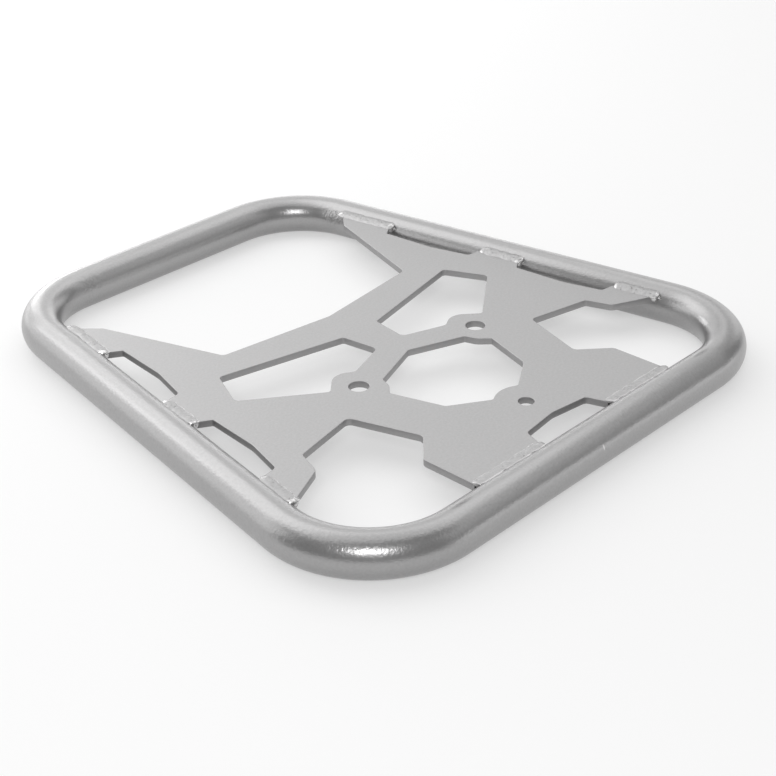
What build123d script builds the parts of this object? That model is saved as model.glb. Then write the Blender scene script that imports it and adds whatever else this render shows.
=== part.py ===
from build123d import *
import os
from math import atan2, cos, degrees, sin, sqrt, tan, pi

# Luggage rack for a motorcycle, in millimetres: a closed hoop of bent round tube with a flat
# laser-cut carrier plate welded inside it. The rack lies on the hoop, with X across it and Y
# along it. Its wide run is at -Y, and the plate is the same on both sides of the YZ plane.

# Hoop, measured on the tube's centre line: widths are where the side runs would meet the end runs
tube_diameter = 18.0
tube_wall = 1.5
hoop_length = 258.0
wide_width = 248.0
narrow_width = 166.0
bend_radius = 40.0

# Plate: its top face lies a little below the hoop's crown
plate_thickness = 3.0
plate_sink = 3.0
fit_up_gap = 0.1

# Bolt holes: a pair side by side, and a single one on the middle line nearer the wide run
pair_spacing = 70.0
pair_hole = 8.4
single_hole = 6.4
single_from_wide = 32.4
row_spacing = 57.0

# Open bay at the narrow end, with a floor that dips to the middle line
bay_from_wide = 142.6
bay_half_width = 54.0
bay_rise = 7.2
bay_corner_radius = 3.0
bay_dip_radius = 2.0

# Tabs that reach the side runs: one at each arm's tip, one half way, one beside the wide bend
arm_setback = 7.3
arm_tab_length = 28.2
arm_tip_drop = 9.5
arm_tip_width = 9.9
arm_tip_radius = 3.0
middle_tab_from_wide = 127.6
middle_tab_length = 21.2
corner_tab_setback = 2.5
corner_tab_length = 20.2
corner_tab_width = 17.5
corner_tab_drop = 11.5
corner_tab_radius = 4.0

# Strap slots between the tabs: shallow at the ends, with a belly past the middle
slot_depth = 6.7
slot_belly = 8.65
slot_belly_place = 0.58
slot_slant = 3.9
slot_heel = 0.8
slot_belly_radius = 18.0
slot_sharp_radius = 1.0
slot_heel_radius = 2.0

# Notch between each corner tab and the foot, and the foot that reaches the wide run
notch_outer_width = 19.5
notch_outer_radius = 1.8
notch_inner = 55.3
notch_inner_from_wide = 75.3
notch_inner_radius = 2.5
waist = 45.5
waist_from_wide = 44.8
waist_radius = 3.0
foot_outer = 57.6
shoulder_from_wide = 33.4
shoulder_radius = 3.0
foot_inner = 20.6
foot_slot_corner = 17.8
foot_slot_depth = 8.7
foot_slot_dip = 11.0
foot_slot_radius = 2.0
foot_slot_dip_radius = 12.0

# Window beside the middle bar: corners as distance from the middle line and from the wide run
window_bar_end = (10.0, 123.8)
window_arm_end = (67.2, 137.0)
window_side = (75.6, 117.8)
window_bar_heel = (7.6, 106.3)
window_bar_end_radius = 1.5
window_arm_end_radius = 2.0
window_side_radius = 2.5
window_bar_heel_radius = 3.0

# Lug of each paired hole, as offsets from the hole: it stands into both windows
lug_crest = (0.5, 14.8)
lug_outer_foot = (10.6, 5.4)
lug_inner_foot = (-7.9, 9.8)
lug_crest_radius = 7.4
lug_outer_foot_radius = 1.5
lug_inner_foot_radius = 2.5
lug_back_start = (-10.3, -3.2)
lug_back_bulge = (-8.7, -8.3)
lug_back_end = (-4.3, -12.9)
lug_back_radius = 1.0
lug_bulge_radius = 6.0

# Middle window, with the single hole's lug in its lower edge
middle_window_peak_from_wide = 95.6
middle_window_peak_radius = 1.5
middle_window_corner = (23.6, 53.4)
middle_window_corner_radius = 2.5
single_lug_crest = 14.4
single_lug_foot = (7.6, 10.5)
single_lug_crest_radius = 12.0
single_lug_foot_radius = 1.5

# Weld beads: fillets along the tabs' top edges, from the plate's face up on to the tube, and the
# lump in which a bead ends where it is carried round the free corner of a tab
bead_on_plate = 2.2
bead_on_tube = 2.9
bead_crown = 0.35
bead_penetration = 2.0
bead_overrun = 1.2
bead_side_margin = 0.3
lump_radius = 2.7
lump_overrun = 1.3

# Places that follow from the sizes above
tube_radius = tube_diameter / 2
plate_top = tube_diameter - plate_sink
plate_bottom = plate_top - plate_thickness
wide_y = -hoop_length / 2
lean = atan2((wide_width - narrow_width) / 2, hoop_length)
wide_bend_y = wide_y + bend_radius * tan((pi / 2 + lean) / 2) * cos(lean)
narrow_bend_y = -wide_y - bend_radius * tan((pi / 2 - lean) / 2) * cos(lean)
edge_height = max(plate_bottom - tube_radius, 0)
reach = sqrt(tube_radius**2 - edge_height**2) + fit_up_gap
foot_y = wide_y + reach
single_y = wide_y + single_from_wide
pair_x = pair_spacing / 2
pair_y = single_y + row_spacing
arm_tip_y = narrow_bend_y - arm_setback
corner_tip_y = wide_bend_y + corner_tab_setback


def side_x(y):
    """Centre line of the right side run at y."""
    return wide_width / 2 - (y - wide_y) * tan(lean)


def tab_x(y):
    """Edge of a tab that reaches the right side run at y."""
    return side_x(y) - reach / cos(lean)


def outline(corners):
    """Face with straight edges through (x, y, radius) corners."""
    points = [(x, y) for x, y, radius in corners]
    radii = [radius for x, y, radius in corners]
    return make_face(FilletPolyline(*points, radius=radii, close=True))


def both_sides(corners):
    """Corners of the right half, run on by their mirror images; the two ends lie on the middle line."""
    return corners + [(-x, y, radius) for x, y, radius in reversed(corners[1:-1])]


def hoop_bar(radius):
    """Round bar along the hoop's centre line: a closed loop with four bends."""
    path = FilletPolyline(
        (wide_width / 2, wide_y, tube_radius),
        (narrow_width / 2, -wide_y, tube_radius),
        (-narrow_width / 2, -wide_y, tube_radius),
        (-wide_width / 2, wide_y, tube_radius),
        radius=bend_radius,
        close=True,
    )
    return sweep(Plane(path @ 0, z_dir=path % 0) * Circle(radius), path)


def strap_slot(upper, lower):
    """Slot along the side run, between the tab that ends at upper and the one that starts at lower."""
    top = upper - slot_slant
    bottom = lower + slot_heel
    belly = top + (bottom - top) * slot_belly_place
    return [
        (tab_x(upper), upper, 0),
        (tab_x(top) - slot_depth, top, slot_sharp_radius),
        (tab_x(belly) - slot_belly, belly, slot_belly_radius),
        (tab_x(bottom) - slot_depth, bottom, slot_heel_radius),
        (tab_x(lower), lower, 0),
    ]


# Where each tab on a side run starts and ends, from the narrow end to the wide one
arm_tab = (arm_tip_y, arm_tip_y - arm_tab_length)
middle_tab_y = wide_y + middle_tab_from_wide
middle_tab = (middle_tab_y + middle_tab_length / 2, middle_tab_y - middle_tab_length / 2)
corner_tab = (corner_tip_y + corner_tab_length, corner_tip_y)


def plate_blank():
    """Outer edge of the plate: bay, arms, strap slots, corner tabs, notches and feet."""
    bay_y = wide_y + bay_from_wide
    tip_y = arm_tip_y - arm_tip_drop
    inner_y = corner_tip_y + corner_tab_length - corner_tab_drop
    notch_y = corner_tab[0]
    right = [(0, bay_y, bay_dip_radius)]
    right += [(bay_half_width, bay_y + bay_rise, bay_corner_radius)]
    right += [(tab_x(tip_y) - arm_tip_width, tip_y, arm_tip_radius)]
    right += [(tab_x(arm_tip_y), arm_tip_y, 0)]
    right += strap_slot(arm_tab[1], middle_tab[0])
    right += strap_slot(middle_tab[1], corner_tab[0])
    right += [(tab_x(corner_tip_y), corner_tip_y, 0)]
    right += [(tab_x(inner_y) - corner_tab_width, inner_y, corner_tab_radius)]
    right += [(tab_x(notch_y) - notch_outer_width, notch_y, notch_outer_radius)]
    right += [(notch_inner, wide_y + notch_inner_from_wide, notch_inner_radius)]
    right += [(waist, wide_y + waist_from_wide, waist_radius)]
    right += [(foot_outer, wide_y + shoulder_from_wide, shoulder_radius)]
    right += [(foot_outer, foot_y, 0)]
    right += [(foot_inner, foot_y, 0)]
    right += [(foot_slot_corner, foot_y + foot_slot_depth, foot_slot_radius)]
    right += [(0, foot_y + foot_slot_dip, foot_slot_dip_radius)]
    return outline(both_sides(right))


def lug_point(offset, radius):
    """Corner given from the right-hand paired hole."""
    return (pair_x + offset[0], pair_y + offset[1], radius)


def wide_point(place, radius):
    """Corner given from the middle line and the wide run."""
    return (place[0], wide_y + place[1], radius)


def side_window():
    """Window between the middle bar and the right side, with the hole's lug in its lower edge."""
    return outline([
        wide_point(window_bar_end, window_bar_end_radius),
        wide_point(window_arm_end, window_arm_end_radius),
        wide_point(window_side, window_side_radius),
        lug_point(lug_outer_foot, lug_outer_foot_radius),
        lug_point(lug_crest, lug_crest_radius),
        lug_point(lug_inner_foot, lug_inner_foot_radius),
        wide_point(window_bar_heel, window_bar_heel_radius),
    ])


def middle_window():
    """Window between the three bolt holes."""
    foot_x, foot_rise = single_lug_foot
    return outline(both_sides([
        (0, wide_y + middle_window_peak_from_wide, middle_window_peak_radius),
        lug_point(lug_back_start, lug_back_radius),
        lug_point(lug_back_bulge, lug_bulge_radius),
        lug_point(lug_back_end, lug_back_radius),
        wide_point(middle_window_corner, middle_window_corner_radius),
        (foot_x, single_y + foot_rise, single_lug_foot_radius),
        (0, single_y + single_lug_crest, single_lug_crest_radius),
    ]))


def carrier_plate():
    """Flat sheet cut to shape, drilled for three bolts."""
    window = side_window()
    face = plate_blank() - window - mirror(window, about=Plane.YZ) - middle_window()
    face -= Pos(0, single_y) * Circle(single_hole / 2)
    for x in (-pair_x, pair_x):
        face -= Pos(x, pair_y) * Circle(pair_hole / 2)
    return extrude(Pos(0, 0, plate_bottom) * face, plate_thickness)


def bead(start, end, corner=0):
    """
    Fillet weld from start to end on a run's centre line, the plate being to the left of the way.
    It is carried round the tab's corner at its end if corner is 1, or at its start if it is -1.
    """
    way = Vector(*end) - Vector(*start)
    length = way.length + 2 * bead_overrun
    heading = degrees(atan2(way.Y, way.X))
    middle = (Vector(*start) + Vector(*end)) * 0.5
    plate_toe = (reach + bead_on_plate, plate_top)
    tube_angle = atan2(plate_top - tube_radius, reach) + bead_on_tube / tube_radius
    tube_toe = (tube_radius * cos(tube_angle), tube_radius * (1 + sin(tube_angle)))
    crown_x = (plate_toe[0] + tube_toe[0]) / 2
    crown_z = (plate_toe[1] + tube_toe[1]) / 2 + bead_crown
    root_z = plate_top - bead_penetration
    face = ThreePointArc(plate_toe, (crown_x, crown_z), tube_toe)
    sides = Polyline(tube_toe, (tube_toe[0], root_z), (plate_toe[0], root_z), plate_toe)
    section = make_face(face + sides)
    across = plate_toe[0] - tube_toe[0] + 2 * bead_side_margin
    strip = extrude(Plane.YZ * section, length / 2, both=True)
    ends = extrude(Pos(0, crown_x) * SlotOverall(length, across), 2 * tube_diameter)
    metal = strip & ends
    if corner:
        tip = corner * (way.length / 2 + lump_overrun)
        metal += Pos(tip, reach, plate_top - plate_thickness / 2) * Sphere(lump_radius)
    return Pos(middle.X, middle.Y) * Rot(0, 0, heading) * metal - skin - plate


os.makedirs("parts", exist_ok=True)
skin = hoop_bar(tube_radius)
plate = carrier_plate()
export_step(skin - hoop_bar(tube_radius - tube_wall), "parts/hoop_tube.step")
export_step(plate, "parts/carrier_plate.step")

# Beads on the side runs go with +Y on the right, so that the plate is on their left, and are mirrored
side_tabs = {"arm": (arm_tab, 1), "middle": (middle_tab, 0), "corner": (corner_tab, -1)}
for name, ((upper, lower), corner) in side_tabs.items():
    right = bead((side_x(lower), lower), (side_x(upper), upper), corner)
    export_step(right, f"parts/weld_{name}_right.step")
    export_step(mirror(right, about=Plane.YZ), f"parts/weld_{name}_left.step")

# Beads on the wide run go with +X, the plate being on its +Y side
right = bead((foot_inner, wide_y), (foot_outer, wide_y))
export_step(right, "parts/weld_foot_right.step")
export_step(mirror(right, about=Plane.YZ), "parts/weld_foot_left.step")
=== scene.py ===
import bmesh
import bpy
from math import atan2, cos, pi, radians, sin, sqrt, tan
from mathutils import Matrix, Quaternion, Vector, noise


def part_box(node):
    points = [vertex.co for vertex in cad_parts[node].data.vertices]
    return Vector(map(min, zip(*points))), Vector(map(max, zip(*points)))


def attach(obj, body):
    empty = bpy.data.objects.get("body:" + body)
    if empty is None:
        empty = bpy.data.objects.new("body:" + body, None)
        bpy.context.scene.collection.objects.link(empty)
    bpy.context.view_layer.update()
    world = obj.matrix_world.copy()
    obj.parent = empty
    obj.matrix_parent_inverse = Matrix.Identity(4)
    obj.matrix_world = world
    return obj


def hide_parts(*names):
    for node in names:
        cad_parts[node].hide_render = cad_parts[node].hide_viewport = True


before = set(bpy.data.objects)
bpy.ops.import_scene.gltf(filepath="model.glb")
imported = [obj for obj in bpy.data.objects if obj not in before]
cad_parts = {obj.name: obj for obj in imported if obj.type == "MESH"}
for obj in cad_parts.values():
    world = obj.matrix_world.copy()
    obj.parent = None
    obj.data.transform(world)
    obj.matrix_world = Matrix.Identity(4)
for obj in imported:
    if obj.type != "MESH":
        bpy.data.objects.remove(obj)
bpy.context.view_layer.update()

# Carrier plate: one flat sheet of stainless steel, laser-cut and then blasted to an even matte grey.
# It is held only by the welds along its tabs. The piece is a copy of the solid whose cut edges are
# broken by a fine round, as blasting leaves them.
plate_edge_round = 0.00022
plate_grey = (0.44, 0.437, 0.438, 1.0)
cut_wall_grey = (0.40, 0.396, 0.398, 1.0)

plate_bm = bmesh.new()
plate_bm.from_mesh(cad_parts["carrier_plate"].data)
bmesh.ops.remove_doubles(plate_bm, verts=plate_bm.verts[:], dist=1e-6)
bmesh.ops.dissolve_limit(
    plate_bm, angle_limit=radians(0.5), use_dissolve_boundaries=False,
    verts=plate_bm.verts[:], edges=plate_bm.edges[:], delimit=set(),
)
plate_rims = [edge for edge in plate_bm.edges if edge.calc_face_angle(0.0) > radians(60)
              and abs(edge.verts[0].co.z - edge.verts[1].co.z) < 1e-6]
bmesh.ops.bevel(
    plate_bm, geom=plate_rims, offset=plate_edge_round, offset_type="OFFSET", affect="EDGES",
    segments=2, profile=0.5, material=-1, clamp_overlap=True,
)
for face in plate_bm.faces:
    flat = abs(face.normal.z) > 0.999
    face.smooth = not flat
    face.material_index = 1 if abs(face.normal.z) < 0.2 else 0
for edge in plate_bm.edges:
    edge.smooth = edge.calc_face_angle(0.0) < radians(50)
plate_mesh = bpy.data.meshes.new("blasted_plate")
plate_bm.to_mesh(plate_mesh)
plate_bm.free()
plate = bpy.data.objects.new("blasted_plate", plate_mesh)
bpy.context.collection.objects.link(plate)

# Blasting leaves fine dimples all over, and soft clouds where the nozzle dwelt
blasted = bpy.data.node_groups.new("blasted_finish", "ShaderNodeTree")
for name, kind, default in (
    ("Grain Size", "NodeSocketFloat", 0.0005),
    ("Cloud Size", "NodeSocketFloat", 0.02),
    ("Grey", "NodeSocketColor", (0.5, 0.5, 0.5, 1.0)),
    ("Grain Depth", "NodeSocketFloat", 0.1),
    ("Cloud Depth", "NodeSocketFloat", 0.05),
    ("Roughness", "NodeSocketFloat", 0.5),
    ("Roughness Spread", "NodeSocketFloat", 0.06),
):
    socket = blasted.interface.new_socket(name, in_out="INPUT", socket_type=kind)
    socket.default_value = default
for name, kind in (
    ("Color", "NodeSocketColor"),
    ("Roughness", "NodeSocketFloat"),
    ("Height", "NodeSocketFloat"),
):
    blasted.interface.new_socket(name, in_out="OUTPUT", socket_type=kind)
given = blasted.nodes.new("NodeGroupInput")
given_out = blasted.nodes.new("NodeGroupOutput")
place = blasted.nodes.new("ShaderNodeTexCoord")
dimples = blasted.nodes.new("ShaderNodeTexNoise")
dimples.inputs["Detail"].default_value = 2.0
dimples.inputs["Roughness"].default_value = 0.6
clouds = blasted.nodes.new("ShaderNodeTexNoise")
clouds.inputs["Detail"].default_value = 4.0
clouds.inputs["Roughness"].default_value = 0.55
for texture, size in ((dimples, "Grain Size"), (clouds, "Cloud Size")):
    per_metre = blasted.nodes.new("ShaderNodeMath")
    per_metre.operation = "DIVIDE"
    per_metre.inputs[0].default_value = 1.0
    blasted.links.new(given.outputs[size], per_metre.inputs[1])
    blasted.links.new(per_metre.outputs[0], texture.inputs["Scale"])
    blasted.links.new(place.outputs["Object"], texture.inputs["Vector"])
cloud_swing = blasted.nodes.new("ShaderNodeMath")
grain_swing = blasted.nodes.new("ShaderNodeMath")
for swing, texture in ((cloud_swing, clouds), (grain_swing, dimples)):
    swing.operation = "SUBTRACT"
    swing.inputs[1].default_value = 0.5
    blasted.links.new(texture.outputs["Fac"], swing.inputs[0])
clouded = blasted.nodes.new("ShaderNodeMath")
clouded.operation = "MULTIPLY_ADD"
clouded.inputs[2].default_value = 1.0
blasted.links.new(cloud_swing.outputs[0], clouded.inputs[0])
blasted.links.new(given.outputs["Cloud Depth"], clouded.inputs[1])
tone = blasted.nodes.new("ShaderNodeMath")
tone.operation = "MULTIPLY_ADD"
blasted.links.new(grain_swing.outputs[0], tone.inputs[0])
blasted.links.new(given.outputs["Grain Depth"], tone.inputs[1])
blasted.links.new(clouded.outputs[0], tone.inputs[2])
shaded = blasted.nodes.new("ShaderNodeVectorMath")
shaded.operation = "SCALE"
blasted.links.new(given.outputs["Grey"], shaded.inputs[0])
blasted.links.new(tone.outputs[0], shaded.inputs["Scale"])
blasted.links.new(shaded.outputs[0], given_out.inputs["Color"])
rough = blasted.nodes.new("ShaderNodeMath")
rough.operation = "MULTIPLY_ADD"
blasted.links.new(cloud_swing.outputs[0], rough.inputs[0])
blasted.links.new(given.outputs["Roughness Spread"], rough.inputs[1])
blasted.links.new(given.outputs["Roughness"], rough.inputs[2])
blasted.links.new(rough.outputs[0], given_out.inputs["Roughness"])
blasted.links.new(dimples.outputs["Fac"], given_out.inputs["Height"])

plate_metal = bpy.data.materials.new("blasted_plate_face")
plate_metal.use_nodes = True
nodes, links = plate_metal.node_tree.nodes, plate_metal.node_tree.links
shader = nodes["Principled BSDF"]
shader.inputs["Metallic"].default_value = 1.0
finish = nodes.new("ShaderNodeGroup")
finish.node_tree = blasted
finish.inputs["Grain Size"].default_value = 0.0010
finish.inputs["Cloud Size"].default_value = 0.025
finish.inputs["Grey"].default_value = plate_grey
finish.inputs["Grain Depth"].default_value = 0.24
finish.inputs["Cloud Depth"].default_value = 0.08
finish.inputs["Roughness"].default_value = 0.52
finish.inputs["Roughness Spread"].default_value = 0.06
bump = nodes.new("ShaderNodeBump")
bump.inputs["Strength"].default_value = 0.25
bump.inputs["Distance"].default_value = 0.00005
links.new(finish.outputs["Color"], shader.inputs["Base Color"])
links.new(finish.outputs["Roughness"], shader.inputs["Roughness"])
links.new(finish.outputs["Height"], bump.inputs["Height"])
links.new(bump.outputs["Normal"], shader.inputs["Normal"])

# The laser leaves upright striations down the cut wall, which blasting softens but doesn't remove
cut_metal = bpy.data.materials.new("laser_cut_wall")
cut_metal.use_nodes = True
nodes, links = cut_metal.node_tree.nodes, cut_metal.node_tree.links
shader = nodes["Principled BSDF"]
shader.inputs["Metallic"].default_value = 1.0
finish = nodes.new("ShaderNodeGroup")
finish.node_tree = blasted
finish.inputs["Grain Size"].default_value = 0.0005
finish.inputs["Cloud Size"].default_value = 0.012
finish.inputs["Grey"].default_value = cut_wall_grey
finish.inputs["Cloud Depth"].default_value = 0.15
finish.inputs["Roughness"].default_value = 0.55
finish.inputs["Roughness Spread"].default_value = 0.08
upright = nodes.new("ShaderNodeMapping")
upright.inputs["Scale"].default_value = (2600.0, 2600.0, 160.0)
where = nodes.new("ShaderNodeTexCoord")
striations = nodes.new("ShaderNodeTexNoise")
striations.inputs["Scale"].default_value = 1.0
striations.inputs["Detail"].default_value = 1.0
bump = nodes.new("ShaderNodeBump")
bump.inputs["Strength"].default_value = 0.5
bump.inputs["Distance"].default_value = 0.00006
links.new(where.outputs["Object"], upright.inputs["Vector"])
links.new(upright.outputs["Vector"], striations.inputs["Vector"])
links.new(striations.outputs["Fac"], bump.inputs["Height"])
links.new(finish.outputs["Color"], shader.inputs["Base Color"])
links.new(finish.outputs["Roughness"], shader.inputs["Roughness"])
links.new(bump.outputs["Normal"], shader.inputs["Normal"])

plate_mesh.materials.append(plate_metal)
plate_mesh.materials.append(cut_metal)
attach(plate, "root")
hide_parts("carrier_plate")

# Hoop: one stainless tube, polished round its girth, bent at four corners and butt-welded into a
# loop near the middle of the wide run. The ring that is swept round it starts and ends close by.
tube_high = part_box("hoop_tube")[1]
tube_radius = tube_high.z / 2
hoop_half_length = tube_high.y - tube_radius
wide_half_width = 0.124
narrow_half_width = 0.083
bend_radius = 0.040
tube_sides = 64
run_step = 0.002
bend_step = radians(2.5)
tube_grey = (0.375, 0.372, 0.373, 1.0)
scuff_from_joint = 0.0725
scuff_reach = (0.0060, 0.0013)
scuff_facing = radians(172)
scuff_tone = (0.35, 0.34, 0.34, 1.0)
joint_from_end = 0.004
joint_reach = (0.0005, 0.0015)
joint_facing = radians(246)
joint_grey = (0.66, 0.65, 0.65, 1.0)
wrinkle_reach = 0.009
wrinkle_facing = radians(105)
grain_height = 100.0
polish_height = 25.0
wrinkle_height = 480.0

hoop_lean = atan2(wide_half_width - narrow_half_width, 2 * hoop_half_length)
wide_turn = pi / 2 + hoop_lean
narrow_turn = pi / 2 - hoop_lean
wide_setback = bend_radius * tan(wide_turn / 2)
narrow_setback = bend_radius * tan(narrow_turn / 2)
side_run = 2 * hoop_half_length / cos(hoop_lean) - wide_setback - narrow_setback
half_wide_run = wide_half_width - wide_setback
narrow_run = 2 * (narrow_half_width - narrow_setback)

hoop_bm = bmesh.new()
along = hoop_bm.verts.layers.float.new("along")
around = hoop_bm.verts.layers.float.new("around")
wrinkle = hoop_bm.verts.layers.float.new("bend_wrinkle")
start = Matrix.Translation((0, -hoop_half_length, tube_radius)) @ Matrix.Rotation(pi / 2, 4, "Y")
ring = bmesh.ops.create_circle(hoop_bm, segments=tube_sides, radius=tube_radius, matrix=start)["verts"]
for vert in ring:
    vert[around] = atan2(vert.co.y + hoop_half_length, tube_radius - vert.co.z) % (2 * pi)
ring_edges = list({edge for vert in ring for edge in vert.link_edges})
heading = Vector((1, 0, 0))
centre = Vector((0, -hoop_half_length, tube_radius))
travelled = 0.0
bend_starts = []
stretches = (("run", half_wide_run), ("bend", wide_turn), ("run", side_run), ("bend", narrow_turn),
             ("run", narrow_run), ("bend", narrow_turn), ("run", side_run), ("bend", wide_turn),
             ("run", half_wide_run))
for kind, amount in stretches:
    steps = max(1, round(amount / (run_step if kind == "run" else bend_step)))
    pivot = centre + Vector((-heading.y, heading.x, 0)) * bend_radius
    if kind == "bend":
        bend_starts.append(travelled)
    for step in range(steps):
        grown = bmesh.ops.extrude_edge_only(hoop_bm, edges=ring_edges)["geom"]
        new_verts = [item for item in grown if isinstance(item, bmesh.types.BMVert)]
        ring_edges = [item for item in grown if isinstance(item, bmesh.types.BMEdge)
                      and all(vert in new_verts for vert in item.verts)]
        if kind == "run":
            bmesh.ops.translate(hoop_bm, verts=new_verts, vec=heading * (amount / steps))
            centre = centre + heading * (amount / steps)
            travelled += amount / steps
        else:
            turn = Matrix.Rotation(amount / steps, 3, "Z")
            bmesh.ops.rotate(hoop_bm, verts=new_verts, cent=pivot, matrix=turn)
            centre = pivot + turn @ (centre - pivot)
            heading = turn @ heading
            travelled += amount / steps * bend_radius
        for vert in new_verts:
            vert[along] = travelled
hoop_length = travelled
for vert in hoop_bm.verts:
    nearest = min(abs(vert[along] - starts) for starts in bend_starts[1:3])
    inner = max(0.0, cos(vert[around] - wrinkle_facing))
    vert[wrinkle] = max(0.0, 1 - nearest / wrinkle_reach) * inner ** 4
wrap = hoop_bm.loops.layers.uv.new("tube_wrap")
for face in hoop_bm.faces:
    turns = [loop.vert[around] for loop in face.loops]
    for loop in face.loops:
        angle = loop.vert[around]
        if max(turns) - min(turns) > pi and angle < pi:
            angle += 2 * pi
        loop[wrap].uv = (loop.vert[along], angle * tube_radius)
    face.smooth = True
bmesh.ops.remove_doubles(hoop_bm, verts=hoop_bm.verts[:], dist=1e-6)
bmesh.ops.recalc_face_normals(hoop_bm, faces=hoop_bm.faces[:])
hoop_mesh = bpy.data.meshes.new("bent_hoop")
hoop_bm.to_mesh(hoop_mesh)
hoop_bm.free()
hoop = bpy.data.objects.new("bent_hoop", hoop_mesh)
bpy.context.collection.objects.link(hoop)

tube_metal = bpy.data.materials.new("polished_tube")
tube_metal.use_nodes = True
nodes, links = tube_metal.node_tree.nodes, tube_metal.node_tree.links
shader = nodes["Principled BSDF"]
shader.inputs["Metallic"].default_value = 1.0
finish = nodes.new("ShaderNodeGroup")
finish.node_tree = blasted
finish.inputs["Grain Size"].default_value = 0.0010
finish.inputs["Cloud Size"].default_value = 0.03
finish.inputs["Grey"].default_value = tube_grey
finish.inputs["Grain Depth"].default_value = 0.24
finish.inputs["Cloud Depth"].default_value = 0.06
finish.inputs["Roughness"].default_value = 0.30
finish.inputs["Roughness Spread"].default_value = 0.05
wrap_uv = nodes.new("ShaderNodeUVMap")
wrap_uv.uv_map = "tube_wrap"
unwrapped = nodes.new("ShaderNodeSeparateXYZ")
links.new(wrap_uv.outputs["UV"], unwrapped.inputs["Vector"])


def wrapped_noise(per_metre_along, per_metre_around, detail):
    """Noise on the unwrapped tube, drawn out along it or around it."""
    stretch = nodes.new("ShaderNodeMapping")
    stretch.inputs["Scale"].default_value = (per_metre_along, per_metre_around, 1.0)
    texture = nodes.new("ShaderNodeTexNoise")
    texture.noise_dimensions = "2D"
    texture.inputs["Scale"].default_value = 1.0
    texture.inputs["Detail"].default_value = detail
    links.new(wrap_uv.outputs["UV"], stretch.inputs["Vector"])
    links.new(stretch.outputs["Vector"], texture.inputs["Vector"])
    return texture.outputs["Fac"]


def tube_math(operation, first, second, third=None):
    """One step of arithmetic in the tube's material, with sockets or plain numbers."""
    step = nodes.new("ShaderNodeMath")
    step.operation = operation
    for place_of, value in enumerate((first, second, third)):
        if isinstance(value, (int, float)):
            step.inputs[place_of].default_value = value
        elif value is not None:
            links.new(value, step.inputs[place_of])
    return step.outputs[0]


def mark_at(along_socket, along_middle, facing, reach):
    """Soft spot on the unwrapped tube, 1 at its middle and 0 at its reach along and around the tube."""
    far_along = tube_math("SUBTRACT", along_socket, along_middle)
    far_along = tube_math("DIVIDE", far_along, reach[0])
    far_around = tube_math("SUBTRACT", unwrapped.outputs["Y"], facing * tube_radius)
    far_around = tube_math("DIVIDE", far_around, reach[1])
    far = tube_math("MULTIPLY", far_along, far_along)
    far = tube_math("MULTIPLY_ADD", far_around, far_around, far)
    return tube_math("MAXIMUM", tube_math("SUBTRACT", 1.0, far), 0.0)


# The bender's clamps scuffed the top of the wide run at both bends, and the ground joint shows as a tick
from_middle = tube_math("SUBTRACT", unwrapped.outputs["X"], hoop_length / 2)
from_joint = tube_math("SUBTRACT", hoop_length / 2, tube_math("ABSOLUTE", from_middle, 0.0))
scuff = mark_at(from_joint, scuff_from_joint, scuff_facing, scuff_reach)
scuff = tube_math("MULTIPLY", scuff, wrapped_noise(700.0, 1500.0, 2.0))
joint = mark_at(unwrapped.outputs["X"], hoop_length - joint_from_end, joint_facing, joint_reach)
shaded_tube = nodes.new("ShaderNodeMix")
shaded_tube.data_type = "RGBA"
shaded_tube.blend_type = "MULTIPLY"
shaded_tube.inputs["B"].default_value = scuff_tone
links.new(scuff, shaded_tube.inputs["Factor"])
links.new(finish.outputs["Color"], shaded_tube.inputs["A"])
bright_tick = nodes.new("ShaderNodeMix")
bright_tick.data_type = "RGBA"
bright_tick.inputs["B"].default_value = joint_grey
links.new(joint, bright_tick.inputs["Factor"])
links.new(shaded_tube.outputs["Result"], bright_tick.inputs["A"])

# Height in thousandths of a millimetre: blasted grain, polish round the girth, and the wrinkles that
# bending pressed into the inner side where the two narrow bends start
wrinkled = nodes.new("ShaderNodeAttribute")
wrinkled.attribute_name = "bend_wrinkle"
height = tube_math("MULTIPLY", finish.outputs["Height"], grain_height)
height = tube_math("MULTIPLY_ADD", wrapped_noise(1500.0, 120.0, 2.0), polish_height, height)
wrinkles = tube_math("MULTIPLY", wrapped_noise(900.0, 450.0, 1.0), wrinkled.outputs["Fac"])
height = tube_math("MULTIPLY_ADD", wrinkles, wrinkle_height, height)
bump = nodes.new("ShaderNodeBump")
bump.inputs["Strength"].default_value = 1.0
bump.inputs["Distance"].default_value = 0.000001
links.new(height, bump.inputs["Height"])
links.new(bright_tick.outputs["Result"], shader.inputs["Base Color"])
links.new(finish.outputs["Roughness"], shader.inputs["Roughness"])
links.new(bump.outputs["Normal"], shader.inputs["Normal"])
hoop_mesh.materials.append(tube_metal)
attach(hoop, "root")
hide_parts("hoop_tube")

# Weld beads: fillets of filler wire along the tabs' top edges, from the plate's face up on to the tube,
# each laid in one pass and blasted with the rest. At its ends a bead is carried round the sheet's edge
# and down it, furthest at the arms' tips. There and along some toes its colour is painted lighter, a
# painted glint, and its surface is smoother.
plate_low, plate_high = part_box("carrier_plate")
fit_up_gap = 0.0001
bead_on_plate = 0.0022
bead_on_tube = 0.0029
bead_sides = 40
bead_step = 0.0003
side_crown = 0.0005
foot_crown = 0.00035
bead_root = 0.0021
bead_fullness = 2.4
bead_end_round = 0.0026
dome_rise = 0.00025
dome_place = 0.0016
dome_reach = 0.0018
ripple_pitch = 0.0013
ripple_height = 0.00003
ripple_bow = 0.0011
bead_wander = 0.0007
bead_lumps = 0.00026
bead_slump = 1.3
sways_per_metre = 300
lumps_per_metre = 480
fine_lumps_per_metre = 1300
seed_stride = 7.3
lump_length = 0.0045
lump_drop = 0.0026
arm_tab = (0.0598, 0.0880)
middle_tab = (-0.0120, 0.0092)
corner_tab = (-0.0802, -0.0600)
end_overrun = 0.0006
arm_overrun = 0.0034
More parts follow.
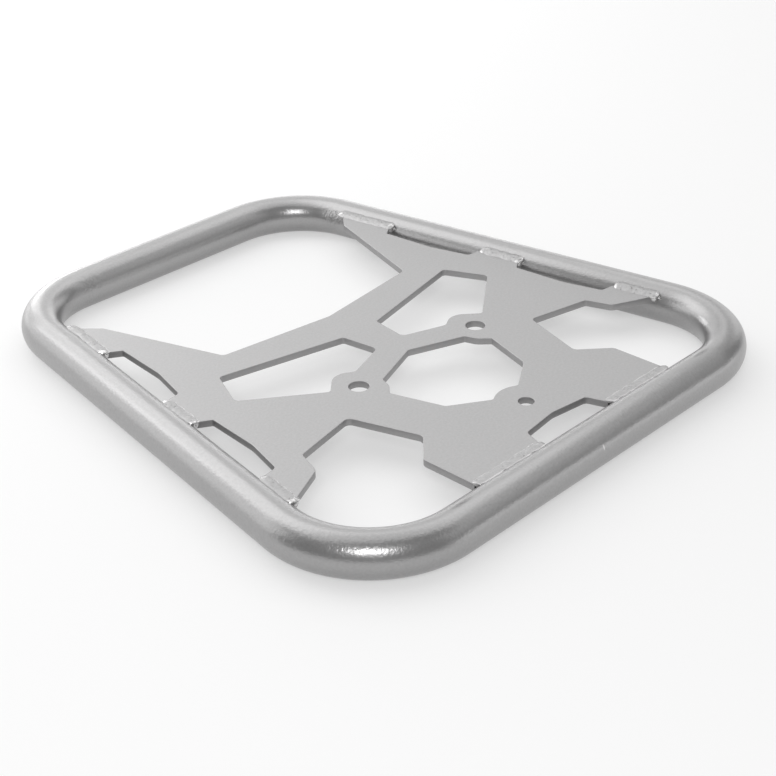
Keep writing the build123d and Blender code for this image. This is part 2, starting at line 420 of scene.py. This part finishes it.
foot_inset = 0.0008
# The next lines set the painted shade's depth and tone in toes and pits, and where the painted glint lies
# along bright toes and at bead ends, with its grey
shade_depth = 0.00006
glint_toe_place = 0.88
glint_toe_reach = 0.16
bright_end = 0.0022
bead_grey = (0.41, 0.407, 0.408, 1.0)
painted_glint_grey = (0.66, 0.655, 0.655, 1.0)
shade_tone = (0.66, 0.65, 0.65, 1.0)

plate_reach = sqrt(tube_radius ** 2 - (plate_low.z - tube_radius) ** 2) + fit_up_gap
tube_toe = atan2(plate_high.z - tube_radius, plate_reach) + bead_on_tube / tube_radius
toe_on_plate = Vector((plate_reach + bead_on_plate, plate_high.z))
toe_on_tube = Vector((cos(tube_toe), 1 + sin(tube_toe))) * tube_radius

weld_metal = bpy.data.materials.new("blasted_weld")
weld_metal.use_nodes = True
nodes, links = weld_metal.node_tree.nodes, weld_metal.node_tree.links
shader = nodes["Principled BSDF"]
shader.inputs["Metallic"].default_value = 1.0
finish = nodes.new("ShaderNodeGroup")
finish.node_tree = blasted
finish.inputs["Grain Size"].default_value = 0.0006
finish.inputs["Cloud Size"].default_value = 0.003
finish.inputs["Grey"].default_value = bead_grey
finish.inputs["Grain Depth"].default_value = 0.2
finish.inputs["Cloud Depth"].default_value = 0.30
finish.inputs["Roughness"].default_value = 0.40
finish.inputs["Roughness Spread"].default_value = 0.12
# A few pits were left by gas. The pits and the tube-side toes are darkened, painted shade in the pits and
# in the crease at the toe
where = nodes.new("ShaderNodeTexCoord")
pits = nodes.new("ShaderNodeTexNoise")
pits.inputs["Scale"].default_value = 900.0
pits.inputs["Detail"].default_value = 1.0
pit_mask = nodes.new("ShaderNodeMapRange")
pit_mask.inputs["From Min"].default_value = 0.66
pit_mask.inputs["From Max"].default_value = 0.74
toe_shade_mask = nodes.new("ShaderNodeAttribute")
toe_shade_mask.attribute_name = "toe"
# The lump attribute marks the painted glint: the colour is lightened there and the roughness lowered
glint_and_smooth_mask = nodes.new("ShaderNodeAttribute")
glint_and_smooth_mask.attribute_name = "lump"
painted_glint_mix = nodes.new("ShaderNodeMix")
painted_glint_mix.data_type = "RGBA"
painted_glint_mix.inputs["B"].default_value = painted_glint_grey
smoother = nodes.new("ShaderNodeMix")
smoother.inputs["B"].default_value = 0.16
# Painted shade: the pits and the tube-side toes are darkened by the shade tone
painted_shade_mask = nodes.new("ShaderNodeMath")
painted_shade_mask.operation = "MAXIMUM"
darken = nodes.new("ShaderNodeMix")
darken.data_type = "RGBA"
darken.blend_type = "MULTIPLY"
darken.inputs["B"].default_value = shade_tone
pit_depth = nodes.new("ShaderNodeMath")
pit_depth.operation = "MULTIPLY_ADD"
pit_depth.inputs[1].default_value = -2.0
bump = nodes.new("ShaderNodeBump")
bump.inputs["Strength"].default_value = 0.6
bump.inputs["Distance"].default_value = 0.00012
links.new(where.outputs["Object"], pits.inputs["Vector"])
links.new(pits.outputs["Fac"], pit_mask.inputs["Value"])
links.new(pit_mask.outputs["Result"], painted_shade_mask.inputs[0])
links.new(toe_shade_mask.outputs["Fac"], painted_shade_mask.inputs[1])
links.new(glint_and_smooth_mask.outputs["Fac"], painted_glint_mix.inputs["Factor"])
links.new(finish.outputs["Color"], painted_glint_mix.inputs["A"])
links.new(painted_shade_mask.outputs[0], darken.inputs["Factor"])
links.new(painted_glint_mix.outputs["Result"], darken.inputs["A"])
links.new(darken.outputs["Result"], shader.inputs["Base Color"])
links.new(glint_and_smooth_mask.outputs["Fac"], smoother.inputs["Factor"])
links.new(finish.outputs["Roughness"], smoother.inputs["A"])
links.new(smoother.outputs["Result"], shader.inputs["Roughness"])
links.new(pit_mask.outputs["Result"], pit_depth.inputs[0])
links.new(finish.outputs["Height"], pit_depth.inputs[2])
links.new(pit_depth.outputs[0], bump.inputs["Height"])
links.new(bump.outputs["Normal"], shader.inputs["Normal"])


def weld_bead(node, start, end, crown, seed, drop, bright_toes):
    """
    Bead along a run's centre line, seen from above, with the plate to the left of the way. At both ends
    it goes down the sheet's edge by the given drop. At dropped ends and along the toes in bright_toes the
    colour is painted lighter, a painted glint, and the surface smoother; on beads without bright toes the
    tube-side toe is darkened, a painted shade.
    """
    way = end - start
    length = way.length
    ahead = way.normalized()
    inward = Vector((-ahead.y, ahead.x, 0))
    up = Vector((0, 0, 1))
    across = (toe_on_plate - toe_on_tube).normalized()
    rise = Vector((-across.y, across.x))
    middle = (toe_on_plate + toe_on_tube) / 2
    half_width = (toe_on_plate - toe_on_tube).length / 2
    bead_bm = bmesh.new()
    toe = bead_bm.verts.layers.float.new("toe")
    lump = bead_bm.verts.layers.float.new("lump")
    bmesh.ops.create_uvsphere(
        bead_bm, u_segments=bead_sides, v_segments=round(length / bead_step), radius=1.0,
    )
    for vert in bead_bm.verts:
        share = atan2(Vector((vert.co.x, vert.co.y)).length, vert.co.z) / pi
        angle = atan2(vert.co.y, vert.co.x)
        gone = share * length
        from_end = min(gone, length - gone)
        bulge = max(0.0, 1 - from_end / lump_length)
        swell = sqrt(1 - max(0.0, 1 - from_end / bead_end_round) ** 2)
        side = (1 if cos(angle) > 0 else -1) * abs(cos(angle)) ** (2 / bead_fullness)
        sway = noise.noise(Vector((gone * sways_per_metre, seed * seed_stride, 2.0 if side > 0 else 8.0)))
        lumps = noise.noise(Vector((gone * lumps_per_metre, side * 1.2, seed * seed_stride)))
        lumps += 0.5 * noise.noise(Vector((gone * fine_lumps_per_metre, side * 3.0, seed * seed_stride)))
        wide = (half_width + bead_wander * sway) * swell * side
        if sin(angle) < 0:
            high = -(bead_root + drop * bulge) * swell * abs(sin(angle)) ** (2 / bead_fullness)
        else:
            ripple = cos(2 * pi * (gone + ripple_bow * side * side) / ripple_pitch)
            dome = dome_rise * max(0.0, 1 - abs(from_end - dome_place) / dome_reach)
            full = crown + bead_lumps * lumps + dome + ripple_height * ripple
            high = full * swell * (1 - side * side) ** bead_slump
        # Painted glint: the colour is lightened near dropped ends and along bright toes
        vert[lump] = min(1.0, 1.6 * max(0.0, 1 + lumps - from_end / bright_end)) if drop else 0.0
        for toe_side in bright_toes:
            toe_glint = max(0.0, 1 - abs(side * toe_side - glint_toe_place) / glint_toe_reach)
            vert[lump] = max(vert[lump], toe_glint * (0.6 + 0.8 * sway))
        # Painted shade: darkens the tube-side toe on beads without bright toes
        vert[toe] = max(0.0, 1 - abs(high) / shade_depth) * (side < 0 and not bright_toes)
        place = middle + across * wide + rise * high
        vert.co = start + way * share + inward * place.x + up * place.y
    bmesh.ops.recalc_face_normals(bead_bm, faces=bead_bm.faces[:])
    for face in bead_bm.faces:
        face.smooth = True
    bead_mesh = bpy.data.meshes.new(node + "_bead")
    bead_bm.to_mesh(bead_mesh)
    bead_bm.free()
    bead_mesh.materials.append(weld_metal)
    bead = bpy.data.objects.new(node + "_bead", bead_mesh)
    bpy.context.collection.objects.link(bead)
    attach(bead, "root")
    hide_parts(node)


def side_line(side, y):
    """Point of a side run's centre line, seen from above: side is 1 on the right and -1 on the left."""
    return Vector((side * ((wide_half_width + narrow_half_width) / 2 - tan(hoop_lean) * y), y, 0))


bead_seed = 0
for side, hand in ((1, "right"), (-1, "left")):
    for tab, ends, over in (("arm", arm_tab, arm_overrun), ("middle", middle_tab, end_overrun),
                            ("corner", corner_tab, end_overrun)):
        bead_seed += 1
        # The plate stays to the left of the way: up the right side, down the left
        tips = [side_line(side, ends[0] - end_overrun), side_line(side, ends[1] + over)][::side]
        weld_bead("weld_" + tab + "_" + hand, tips[0], tips[1], side_crown, bead_seed, lump_drop,
                  () if side > 0 else (1,))
    bead_seed += 1
    low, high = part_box("weld_foot_" + hand)
    weld_bead("weld_foot_" + hand, Vector((low.x + foot_inset, -hoop_half_length, 0)),
              Vector((high.x - foot_inset, -hoop_half_length, 0)), foot_crown, bead_seed, 0.0, (1, -1))

# Studio: a white sheet that the rack lies on, lit from below in part, so that shadows stay soft.
# A broad softbox hangs high at the back, others stand behind, beside and low along the far edge, and
# small ones at the back and above the camera put the glints into the bends. The room itself is dim.
floor_glow = 0.45
floor_bm = bmesh.new()
bmesh.ops.create_grid(floor_bm, x_segments=1, y_segments=1, size=20.0)
floor_mesh = bpy.data.meshes.new("floor")
floor_bm.to_mesh(floor_mesh)
floor_bm.free()
floor = bpy.data.objects.new("floor", floor_mesh)
bpy.context.collection.objects.link(floor)
floor_white = bpy.data.materials.new("floor_white")
floor_white.use_nodes = True
floor_shader = floor_white.node_tree.nodes["Principled BSDF"]
floor_shader.inputs["Base Color"].default_value = (0.9, 0.9, 0.9, 1.0)
floor_shader.inputs["Roughness"].default_value = 1.0
floor_shader.inputs["Specular IOR Level"].default_value = 0.0
floor_nodes, floor_links = floor_white.node_tree.nodes, floor_white.node_tree.links
glow = floor_nodes.new("ShaderNodeEmission")
glow.inputs["Color"].default_value = (1.0, 1.0, 1.0, 1.0)
glow.inputs["Strength"].default_value = 1.0
ray = floor_nodes.new("ShaderNodeLightPath")
seen = floor_nodes.new("ShaderNodeMath")
seen.operation = "MAXIMUM"
seen_or_mirrored = floor_nodes.new("ShaderNodeMath")
seen_or_mirrored.operation = "MAXIMUM"
glow_share = floor_nodes.new("ShaderNodeMath")
glow_share.operation = "MULTIPLY"
glow_share.inputs[1].default_value = floor_glow
glowing_sheet = floor_nodes.new("ShaderNodeMixShader")
floor_links.new(ray.outputs["Is Camera Ray"], seen.inputs[0])
floor_links.new(ray.outputs["Is Transmission Ray"], seen.inputs[1])
floor_links.new(seen.outputs[0], seen_or_mirrored.inputs[0])
floor_links.new(ray.outputs["Is Glossy Ray"], seen_or_mirrored.inputs[1])
floor_links.new(seen_or_mirrored.outputs[0], glow_share.inputs[0])
floor_links.new(glow_share.outputs[0], glowing_sheet.inputs["Fac"])
floor_links.new(floor_shader.outputs["BSDF"], glowing_sheet.inputs[1])
floor_links.new(glow.outputs["Emission"], glowing_sheet.inputs[2])
floor_links.new(glowing_sheet.outputs["Shader"], floor_nodes["Material Output"].inputs["Surface"])
floor_mesh.materials.append(floor_white)

room = bpy.data.worlds.new("room")
room.use_nodes = True
room.node_tree.nodes["Background"].inputs["Color"].default_value = (1.0, 1.0, 1.0, 1.0)
room.node_tree.nodes["Background"].inputs["Strength"].default_value = 0.38
bpy.context.scene.world = room


def softbox(name, azimuth, elevation, distance, width, height, radiance):
    """Rectangular light that faces the rack from the given direction, in degrees and metres."""
    lamp = bpy.data.lights.new(name, "AREA")
    lamp.shape = "RECTANGLE"
    lamp.size = width
    lamp.size_y = height
    lamp.energy = radiance * pi * width * height
    stand = bpy.data.objects.new(name, lamp)
    level, turn = radians(elevation), radians(azimuth)
    stand.location = distance * Vector((cos(level) * cos(turn), cos(level) * sin(turn), sin(level)))
    stand.rotation_euler = (-stand.location).to_track_quat("-Z", "Y").to_euler()
    bpy.context.collection.objects.link(stand)


softbox("overhead", 66, 64, 1.3, 2.0, 1.8, 0.72)
softbox("right_high", 0, 49, 1.3, 1.5, 0.55, 0.50)
softbox("back_high", 92, 50, 0.7, 0.55, 0.5, 0.85)
softbox("back", 73, 19, 0.75, 0.85, 0.36, 0.74)
softbox("back_glint", 76, 11, 0.74, 0.18, 0.13, 3.4)
softbox("horizon", 65, 3.5, 0.80, 1.1, 0.09, 2.0)
softbox("back_left", 128, 22, 0.65, 0.6, 0.45, 0.98)
softbox("back_right", 20, 12, 1.5, 1.3, 0.65, 0.78)
softbox("front_right", -55, 34, 1.5, 1.0, 0.7, 0.36)
softbox("right_strip", -48, 4, 1.5, 1.5, 0.22, 1.1)
softbox("camera_softbox", -138, 38, 1.0, 0.26, 0.22, 12.0)

# Camera: a 70 mm lens to the rack's left at its wide end, held 0.3 m above the sheet and turned a
# little about its own axis. Its place was fitted to the hoop's straight runs.
view_azimuth = radians(-135.05)
view_elevation = radians(29.71)
view_distance = 0.6127
view_aim = Vector((-0.0209, -0.0418, 0.009))
view_roll = radians(-1.684)
camera_data = bpy.data.cameras.new("camera")
camera_data.lens = 70.36
camera_data.sensor_width = 36.0
camera = bpy.data.objects.new("camera", camera_data)
outward = Vector((cos(view_azimuth), sin(view_azimuth), tan(view_elevation))).normalized()
camera.location = view_aim + view_distance * outward
camera.rotation_mode = "QUATERNION"
camera.rotation_quaternion = (-outward).to_track_quat("-Z", "Y") @ Quaternion((0, 0, 1), view_roll)
bpy.context.collection.objects.link(camera)
bpy.context.scene.camera = camera
bpy.context.scene.view_settings.view_transform = "Standard"
